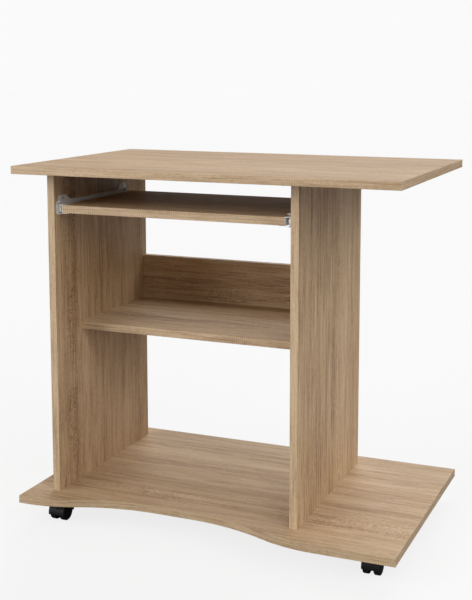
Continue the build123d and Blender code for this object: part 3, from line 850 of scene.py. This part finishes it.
# The desk's sub-assemblies
@dataclass
class Carcass:
    """The boards and their edge bands.

    Attributes:
        band: The thickness of the edge bands, in metres.
        first_band_seed: Sets the first band apart from the boards.
        band_seed_step: Sets each band apart from the one before it.
    """

    band: float = 1.0 * MM
    first_band_seed: float = 23.3
    band_seed_step: float = 1.7

    def board_finishes(self) -> dict[str, OakFinish]:
        """Choose the laminate of each board.

        Returns:
            The finishes by CAD node.
        """
        bold = {"light": rgb(0.620, 0.448, 0.280), "dark": rgb(0.185, 0.098, 0.040)}
        narrow = bold | {"plank": 0.085}
        calm = {"light": rgb(0.590, 0.430, 0.270), "dark": rgb(0.300, 0.178, 0.088)}
        # Painted shade: the back stiffener's laminate is darker and redder than the other boards, standing
        # in for the shade under the top and the tray.
        deep = {
            "light": rgb(0.540, 0.370, 0.215),
            "middle": rgb(0.410, 0.255, 0.130),
            "dark": rgb(0.205, 0.105, 0.044),
            "plank": 0.08,
        }
        lying, upright, standing = GrainRun.LYING, GrainRun.UPRIGHT, GrainRun.STANDING
        return {
            "top_panel": OakFinish(
                "oak_top", lying, 1.3, figure_across=-0.115, figure_width=0.035, figure=0.55, plank=0.11
            ),
            "floor_panel": OakFinish(
                "oak_floor", lying, 2.7, figure_across=-0.125, figure_width=0.04, figure=0.9, **calm
            ),
            "left_upright": OakFinish(
                "oak_left", upright, 4.1, figure_across=-0.135, figure_width=0.028, figure=0.72, **narrow
            ),
            "right_upright": OakFinish(
                "oak_right", upright, 6.4, figure_across=0.06, figure_width=0.022, **narrow
            ),
            "shelf": OakFinish("oak_shelf", lying, 8.2, figure_across=0.02, figure_width=0.025, **bold),
            "back_stiffener": OakFinish(
                "oak_stiffener", standing, 9.6, figure_across=0.43, figure_width=0.02, figure=0.7, **deep
            ),
            "keyboard_tray": OakFinish("oak_tray", lying, 11.5, figure=0.5),
        }

    def band_finishes(self) -> dict[str, OakFinish]:
        """Choose the finish of each board's edge bands.

        Returns:
            The finishes by CAD node.
        """
        pale = {
            "light": rgb(0.620, 0.460, 0.295),
            "middle": rgb(0.495, 0.345, 0.205),
            "dark": rgb(0.290, 0.175, 0.085),
        }
        # Painted shade: the floor panel's edge bands get a darker copy of the band tones, to stand in for
        # the shade on its edges.
        floor_band_painted_shade = {
            "light": rgb(0.560, 0.415, 0.265),
            "middle": rgb(0.440, 0.306, 0.180),
            "dark": rgb(0.235, 0.140, 0.066),
        }
        finishes = {}
        for index, board in enumerate(self.board_finishes()):
            low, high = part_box(f"{board}_edging")
            reaches_ends = board in ("top_panel", "floor_panel", "keyboard_tray")
            middle = (low.x + high.x) / 2
            limit = (high.x - low.x) / 2 - self.band if reaches_ends and abs(middle) < self.band else 0.0
            finishes[f"{board}_edging"] = OakFinish(
                f"band_{board}",
                GrainRun.BAND_ALONG_Z if board.endswith("upright") else GrainRun.STANDING,
                self.first_band_seed + self.band_seed_step * index,
                figure=0.0,
                plank=0.4,
                saw=1.0,
                roughness=0.46,
                end_limit=limit,
                thin=True,
                **(floor_band_painted_shade if board == "floor_panel" else pale),
            )
        return finishes

    def dress(self) -> None:
        """Give every board and band its material."""
        for node, finish in (self.board_finishes() | self.band_finishes()).items():
            coat_nodes(finish, node)


@dataclass
class Joinery:
    """The dowels, cams, pins and screws.

    Attributes:
        cams: The CAD nodes of the boards' zinc-plated fittings.
        screws: Those of the other screws.
        pins: Those of the pins that things turn on.
    """

    cams: tuple[str, ...] = ("cam_bolts", "cam_nuts", "connecting_screws")
    screws: tuple[str, ...] = ("rail_screws", "tray_screws", "caster_screws")
    pins: tuple[str, ...] = ("kingpins", "front_roller_pins", "rear_roller_pins")

    def dress(self) -> None:
        """Give the fasteners their materials."""
        coat_nodes(BEECH, "dowels")
        coat_nodes(OAK_CAP, "cam_covers")
        coat_nodes(ZINC, *self.cams, *self.screws, *self.pins)


@dataclass
class TraySlides:
    """The two roller slides of the keyboard tray.

    Attributes:
        sides: The names of the sides.
    """

    sides: tuple[str, str] = ("left", "right")

    def dress(self) -> None:
        """Give the rails and rollers their materials."""
        for side in self.sides:
            coat_nodes(WHITE_COAT, f"{side}_fixed_rail", f"{side}_moving_rail")
            coat_nodes(WHITE_NYLON, f"{side}_front_roller", f"{side}_rear_roller")


@dataclass
class CasterSet:
    """The four twin-wheel casters.

    Attributes:
        wheel_radius: The wheels' radius.
        wheel_inner: How far a wheel's inner face is from the caster's middle.
        wheel_outer: How far the outer edge of its tread is.
        tread_land: The width of the wheel's outer rim.
        tread_rise: How far the face stands out inside that rim.
        groove: The width of the ring groove.
        groove_depth: How deep the groove is cut.
        groove_wall: The width of the groove's inner side.
        groove_rise: How far the face rises again inside it.
        dome: The width and the rise of the face's outer dome.
        crown: The width and the rise of its inner dome.
        cap_gap: The width and the depth of the ring round the hub cap.
        cap: The width and the rise of the hub cap's edge.
        rim_wall: The thickness of the rim on the wheel's inner side.
        rim_hollow: How deep the inner side is hollowed.
        web_width: The width of the hollow, from the rim to the hub.
        outer_round: The rounding of the tread's outer edge.
        inner_round: The rounding of its inner edge.
        hood_radius: The outer radius of the hood.
        hood_wall: The hood's wall thickness.
        hood_half_width: Half the hood's width.
        hood_edge: The height of the hood's lower edge.
        web_half: Half the thickness of the web between the wheels.
        trail: How far the wheels are behind the swivel axis.
        boss_radius: The radius of the boss round the kingpin.
        boss_top: The height of the top of the boss.
        boss_foot: How high above the axle the boss starts inside the hood.
        lobe_radius: The radius of the web round the axle.
        axle_room: The radius of the axle's bore.
        pin_room: The radius and the foot, above the axle, of the kingpin's lower bore.
        collar_room: The radius and the foot, above the axle, of its upper bore.
        bore_length: How long the kingpin's bores are cut.
        hood_round: The rounding of the housing's edges.
        wheel_round: The rounding of the wheel's small edges.
        corners: The names of the desk's corners.
    """

    wheel_radius: float = 19.0 * MM
    wheel_inner: float = 4.7 * MM
    wheel_outer: float = 16.6 * MM
    tread_land: float = 2.6 * MM
    tread_rise: float = 0.2 * MM
    groove: float = 1.7 * MM
    groove_depth: float = 0.9 * MM
    groove_wall: float = 0.9 * MM
    groove_rise: float = 1.1 * MM
    dome: tuple[float, float] = (3.6 * MM, 0.9 * MM)
    crown: tuple[float, float] = (3.4 * MM, 0.35 * MM)
    cap_gap: tuple[float, float] = (0.7 * MM, 0.5 * MM)
    cap: tuple[float, float] = (0.5 * MM, 0.65 * MM)
    rim_wall: float = 2.8 * MM
    rim_hollow: float = 7.8 * MM
    web_width: float = 11.2 * MM
    outer_round: float = 1.9 * MM
    inner_round: float = 2.5 * MM
    hood_radius: float = 21.8 * MM
    hood_wall: float = 1.6 * MM
    hood_half_width: float = 17.5 * MM
    hood_edge: float = 15.0 * MM
    web_half: float = 4.2 * MM
    trail: float = 11.0 * MM
    boss_radius: float = 9.5 * MM
    boss_top: float = 47.5 * MM
    boss_foot: float = 5.0 * MM
    lobe_radius: float = 8.0 * MM
    axle_room: float = 2.05 * MM
    pin_room: tuple[float, float] = (2.55 * MM, 6.0 * MM)
    collar_room: tuple[float, float] = (4.05 * MM, 19.5 * MM)
    bore_length: float = 40.0 * MM
    hood_round: float = 0.5 * MM
    wheel_round: float = 0.22 * MM
    corners: tuple[str, ...] = ("front_left", "front_right", "rear_left", "rear_right")

    def wheel(self) -> bpy.types.Object:
        """Model one wheel about the X axis, its hub towards +X.

        Returns:
            The wheel.
        """
        width = (self.wheel_inner, self.wheel_outer)
        bench = Bench.cylinder("wheel_pattern", self.wheel_radius, width, sides=80)
        bench.edit()
        bench.pick("faces", lambda face: face.normal.x > 0.9)
        bench.inset(self.tread_land)
        bench.push(self.tread_rise)
        bench.inset(self.groove)
        bench.extrude(-self.groove_depth)
        bench.inset(self.groove_wall)
        bench.extrude(self.groove_rise)
        for ring, rise in (self.dome, self.crown):
            bench.inset(ring)
            bench.push(rise)
        bench.inset(self.cap_gap[0])
        bench.extrude(-self.cap_gap[1])
        bench.inset(self.cap[0])
        bench.extrude(self.cap[1])
        bench.pick("faces", lambda face: face.normal.x < -0.9)
        bench.inset(self.rim_wall)
        bench.extrude(self.rim_hollow)
        bench.inset(self.web_width)
        bench.extrude(-self.rim_hollow)
        for corner, rounding in ((self.wheel_outer, self.outer_round), (self.wheel_inner, self.inner_round)):
            bench.pick("edges", lambda edge, at=corner: self.on_tread_corner(edge, at))
            bpy.ops.mesh.bevel(offset=rounding, segments=5, profile=0.5)
        bench.leave()
        return bench.finish(self.wheel_round)

    def on_tread_corner(self, edge: bmesh.types.BMEdge, place: float) -> bool:
        """Say whether an edge lies on the rim of the tread.

        Args:
            edge: The edge.
            place: Where the rim is along X.

        Returns:
            Whether it does.
        """
        near = 0.01 * MM
        return all(
            abs(v.co.x - place) < near and abs(math.hypot(v.co.y, v.co.z) - self.wheel_radius) < near
            for v in edge.verts
        )

    def hood(self) -> bpy.types.Object:
        """Model the housing with the wheels' axis on the X axis.

        Returns:
            The housing: a hood, the web between the wheels and the boss round the kingpin.
        """
        half, outer = self.hood_half_width, self.hood_radius
        lower = self.hood_edge - self.wheel_radius
        shell = Bench.cylinder("housing_pattern", outer, (-half, half), sides=96)
        foot = Vector((0.0, -self.trail, self.boss_foot))
        height = self.boss_top - self.wheel_radius - self.boss_foot
        shell.combine(Bench.post("boss", self.boss_radius, foot, height, sides=48), "UNION")
        inner = outer - self.hood_wall
        for low, high in ((-2 * half, -self.web_half), (self.web_half, 2 * half)):
            shell.combine(Bench.cylinder("well", inner, (low, high), sides=96), "DIFFERENCE")
        shell.edit()
        bpy.ops.mesh.select_all(action="SELECT")
        bpy.ops.mesh.bisect(plane_co=(0, 0, lower), plane_no=(0, 0, 1), clear_inner=True, use_fill=True)
        shell.leave()
        lobe = Bench.cylinder("lobe", self.lobe_radius, (-self.web_half, self.web_half), sides=64)
        shell.combine(lobe, "UNION")
        axle_room = Bench.cylinder("axle_room", self.axle_room, (-2 * half, 2 * half), sides=32)
        shell.combine(axle_room, "DIFFERENCE")
        for name, (radius, start) in {"pin_room": self.pin_room, "collar_room": self.collar_room}.items():
            foot = Vector((0.0, -self.trail, start))
            shell.combine(Bench.post(name, radius, foot, self.bore_length, sides=32), "DIFFERENCE")
        return shell.finish(self.hood_round, angle=40.0)

    def build(self) -> None:
        """Copy the wheel and the housing to every corner, and dress them and the CAD pieces."""
        wheel, hood = self.wheel(), self.hood()
        hood.data.materials.append(made_once(BLACK_NYLON))
        wheel.data.materials.append(made_once(WHEEL_NYLON))
        coat_nodes(BLACK_COAT, *(f"{corner}_caster_plate" for corner in self.corners))
        coat_nodes(ZINC, *(f"{corner}_caster_axle" for corner in self.corners))
        for corner in self.corners:
            low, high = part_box(f"{corner}_caster_axle")
            axle = (low + high) / 2
            node = f"{corner}_caster_housing"
            housing = copy_at(hood, f"{corner}_hood", axle)
            self.stand_for(housing, node, f"{corner}_caster")
            for side, turned in (("right", False), ("left", True)):
                node = f"{corner}_wheel_{side}"
                piece = copy_at(wheel, f"{corner}_{side}_wheel", axle, turned)
                self.stand_for(piece, node, node)
        for pattern in (wheel, hood):
            bpy.data.objects.remove(pattern)

    def stand_for(self, piece: bpy.types.Object, node: str, body: str) -> None:
        """Let a piece ride on a body in place of its CAD node.

        Args:
            piece: The piece.
            node: The CAD node that it replaces.
            body: The body that it rides on.
        """
        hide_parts(node)
        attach(piece, body)
        LOG.info("%s: %d faces, on %s", piece.name, len(piece.data.polygons), body)


# The studio
@dataclass(frozen=True)
class Softbox:
    """A wide, soft light at a distance.

    Attributes:
        name: The light's name.
        strength: How much it gives a surface that faces it.
        spread: Its apparent width, in degrees.
        azimuth: Where it stands round the desk, in degrees; 0 is in front and 90 to the right.
        elevation: Its height above the horizon, in degrees.
    """

    name: str
    strength: float
    spread: float
    azimuth: float
    elevation: float

    def hang(self) -> None:
        """Hang the light."""
        data = bpy.data.lights.new(self.name, "SUN")
        data.energy = self.strength
        data.angle = math.radians(self.spread)
        lamp = bpy.data.objects.new(self.name, data)
        a, e = math.radians(self.azimuth), math.radians(self.elevation)
        towards = Vector((math.sin(a) * math.cos(e), -math.cos(a) * math.cos(e), math.sin(e)))
        lamp.rotation_mode = "QUATERNION"
        lamp.rotation_quaternion = towards.to_track_quat("Z", "Y")
        bpy.context.scene.collection.objects.link(lamp)


@dataclass
class Studio:
    """A pale floor, soft light and the camera.

    Attributes:
        floor_size: The floor's width in metres.
        paper_white: The brightness of the lit paper and of the backdrop.
        paper: The reflectance of the paper as the camera sees it.
        bounce: The reflectance with which the paper lights the desk.
        haze: The share of the paper's brightness that shadows don't reach.
        ambience: The brightness of the room round the desk.
        camera_place: Where the camera stands, in metres.
        camera_pitch: How far it looks down, in degrees.
        camera_turn: How far it is turned to the left, in degrees.
        lens: The lens in millimetres on a 36 mm sensor.
        shift: The lens's sideways and upward shift.
        softboxes: The lights.
    """

    floor_size: float = 60.0
    paper_white: float = 0.955
    paper: float = 0.855
    bounce: float = 0.35
    haze: float = 0.85
    ambience: float = 0.05
    camera_place: tuple[float, float, float] = (0.8971, -2.1611, 0.9509)
    camera_pitch: float = 7.290
    camera_turn: float = 22.636
    lens: float = 68.30
    shift: tuple[float, float] = (-0.0101, -0.15)
    softboxes: tuple[Softbox, ...] = (
        Softbox("front_left_softbox", strength=2.50, spread=50.0, azimuth=-45.0, elevation=16.0),
        Softbox("front_right_softbox", strength=1.25, spread=50.0, azimuth=45.0, elevation=32.0),
        Softbox("right_softbox", strength=1.05, spread=50.0, azimuth=90.0, elevation=32.0),
        Softbox("back_softbox", strength=1.70, spread=50.0, azimuth=180.0, elevation=50.0),
        Softbox("sheen_softbox", strength=0.14, spread=44.0, azimuth=203.0, elevation=14.0),
    )

    def camera(self) -> None:
        """Place the camera."""
        data = bpy.data.cameras.new("camera")
        data.lens = self.lens
        data.sensor_width = 36.0
        data.shift_x, data.shift_y = self.shift
        camera = bpy.data.objects.new("camera", data)
        camera.location = self.camera_place
        camera.rotation_euler = (math.radians(90.0 - self.camera_pitch), 0.0, math.radians(self.camera_turn))
        bpy.context.scene.collection.objects.link(camera)
        bpy.context.scene.camera = camera

    def floor(self) -> None:
        """Lay the floor: bright paper to the camera, less bright in the light that it throws back."""
        bpy.ops.object.select_all(action="DESELECT")
        bpy.ops.mesh.primitive_plane_add(size=self.floor_size)
        floor = bpy.context.view_layer.objects.active
        floor.name = "studio_floor"
        material = bpy.data.materials.new("studio_paper")
        material.use_nodes = True
        g = Graph(material.node_tree)
        g.tree.nodes.clear()
        seen = g.node("ShaderNodeLightPath").outputs["Is Camera Ray"]
        lit = g.node("ShaderNodeBsdfDiffuse", {"Color": rgb(self.paper, self.paper, self.paper)})
        dim = g.node("ShaderNodeBsdfDiffuse", {"Color": rgb(self.bounce, self.bounce, self.bounce)})
        glow = g.node("ShaderNodeEmission", {"Strength": self.paper_white})
        shown = g.node("ShaderNodeMixShader", {0: self.haze, 1: lit.outputs[0], 2: glow.outputs[0]})
        paper = g.node("ShaderNodeMixShader", {0: seen, 1: dim.outputs[0], 2: shown.outputs[0]})
        g.node("ShaderNodeOutputMaterial", {"Surface": paper.outputs[0]})
        floor.data.materials.append(material)

    def world(self) -> None:
        """Fill the room with a little light, and show a white backdrop."""
        world = bpy.data.worlds.new("studio")
        world.use_nodes = True
        bpy.context.scene.world = world
        g = Graph(world.node_tree)
        g.tree.nodes.clear()
        seen = g.node("ShaderNodeLightPath").outputs["Is Camera Ray"]
        white = rgb(1.0, 1.0, 1.0)
        backdrop = g.node("ShaderNodeBackground", {"Color": white, "Strength": self.paper_white})
        room = g.node("ShaderNodeBackground", {"Color": white, "Strength": self.ambience})
        mixed = g.node("ShaderNodeMixShader", {0: seen, 1: room.outputs[0], 2: backdrop.outputs[0]})
        g.node("ShaderNodeOutputWorld", {"Surface": mixed.outputs[0]})

    def build(self) -> None:
        """Set up the whole studio."""
        self.camera()
        self.floor()
        self.world()
        for softbox in self.softboxes:
            softbox.hang()
        bpy.context.scene.view_settings.view_transform = "Standard"


def main() -> None:
    """Build the studio and every sub-assembly, in order."""
    logging.basicConfig(level=logging.INFO, format="%(name)s: %(message)s")
    Studio().build()
    Carcass().dress()
    Joinery().dress()
    TraySlides().dress()
    CasterSet().build()


if __name__ == "__main__":
    main()
